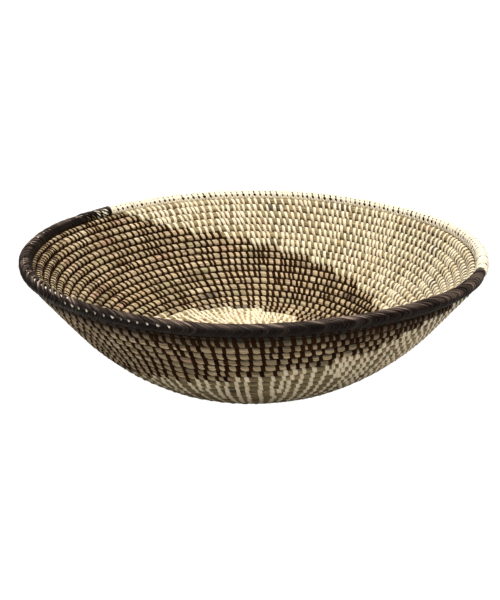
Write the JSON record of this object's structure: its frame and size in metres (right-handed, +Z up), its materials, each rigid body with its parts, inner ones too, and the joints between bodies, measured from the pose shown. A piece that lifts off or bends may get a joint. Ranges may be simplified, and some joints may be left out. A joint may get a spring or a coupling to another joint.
{
  "type": "coiled bread basket",
  "caption": "Shallow round coiled basket for bread: a grass bundle wound in a spiral from flat floor to flaring wall, with a thicker strip-wrapped rim",
  "frame": {"origin": "middle of the flat underside that the basket stands on", "axes": "+Z up along the basket's own axis, out of the bowl's mouth; +X 24 degrees round, counter-clockwise seen from above, from the point where the brown wrapping of the rim ends"},
  "size_m": [0.3594, 0.3594, 0.0983],
  "materials": {
    "grass": "dry straw-coloured grass stems, matte with a slight sheen along the stems",
    "cream_strip": "flat cream plastic strip, soft gloss",
    "brown_strip": "flat dark brown plastic strip, soft gloss"
  },
  "bodies": {
    "root": {"start_knot": "cream_strip", "base_coil": "grass", "lower_wall_coil": "grass", "middle_wall_coil": "grass", "upper_wall_coil": "grass", "rim_bundle": "grass", "rim_wrap_cream": "cream_strip", "rim_wrap_brown": "brown_strip"}
  },
  "joints": []
}
